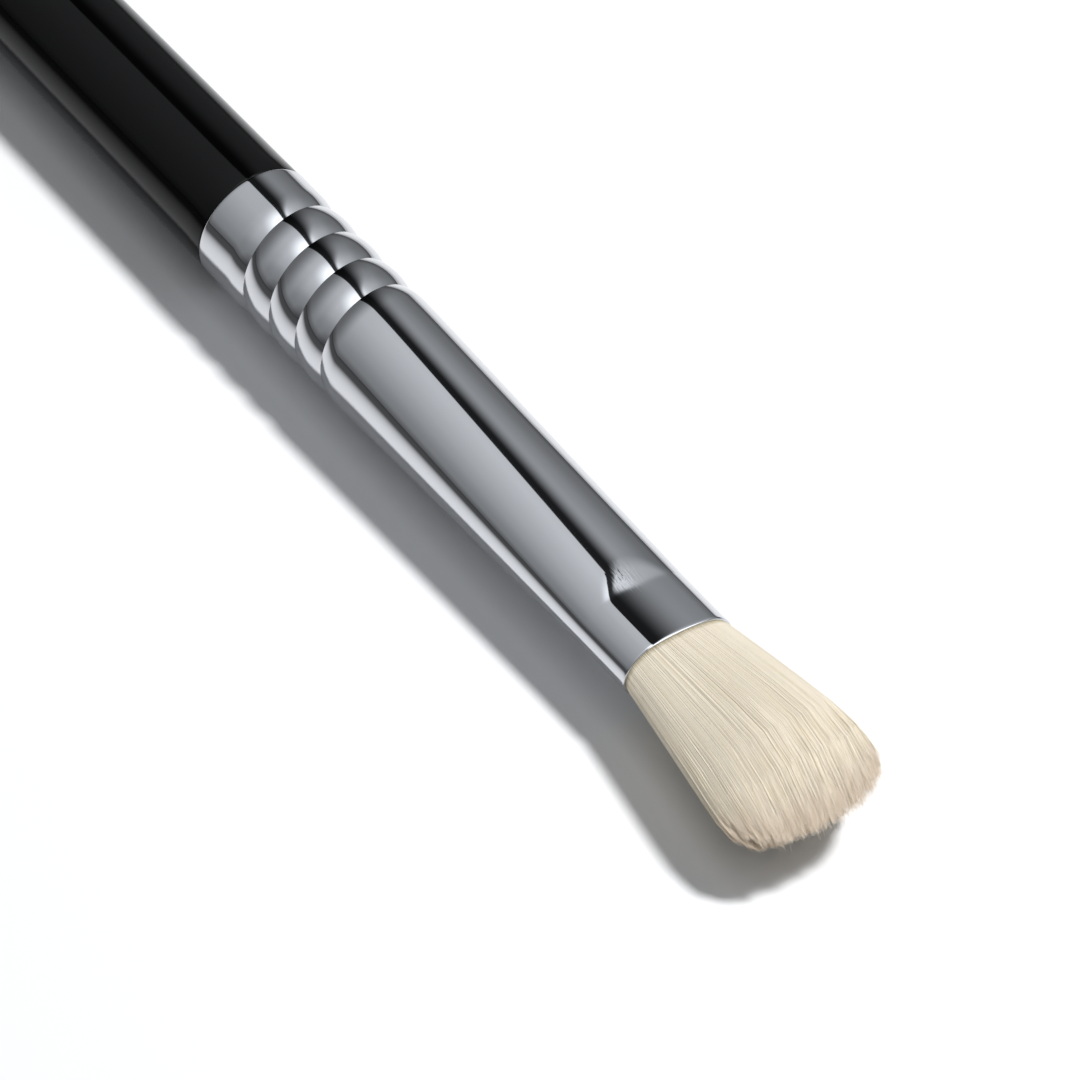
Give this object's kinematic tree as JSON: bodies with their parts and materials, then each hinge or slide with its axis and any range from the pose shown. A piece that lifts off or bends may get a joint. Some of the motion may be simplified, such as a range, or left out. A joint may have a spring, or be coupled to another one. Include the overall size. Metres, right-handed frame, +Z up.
{
  "type": "eye shadow brush",
  "caption": "Full size eye shadow brush: black lacquered wood handle, bright plated ferrule with a rolled thread and a pressed oval mouth, and a flared, domed tuft of cream hair.",
  "frame": {"origin": "under the middle of the brush's length and width, on the surface that it lies on", "axes": "+X along the brush from handle to hair, +Y across the flat side of the ferrule's mouth, +Z up out of the broad face of the hair"},
  "size_m": [0.178, 0.0106, 0.008],
  "materials": {
    "black_lacquer": "gloss lacquer",
    "bright_plate": "polished plate on brass",
    "cured_glue": "cured glue",
    "potting_resin": "cured epoxy",
    "cream_hair": "natural hair"
  },
  "bodies": {
    "root": {"handle": "black_lacquer", "ferrule": "bright_plate", "handle_glue": "cured_glue", "hair_resin": "potting_resin", "bristle_tuft": "cream_hair"}
  },
  "joints": []
}
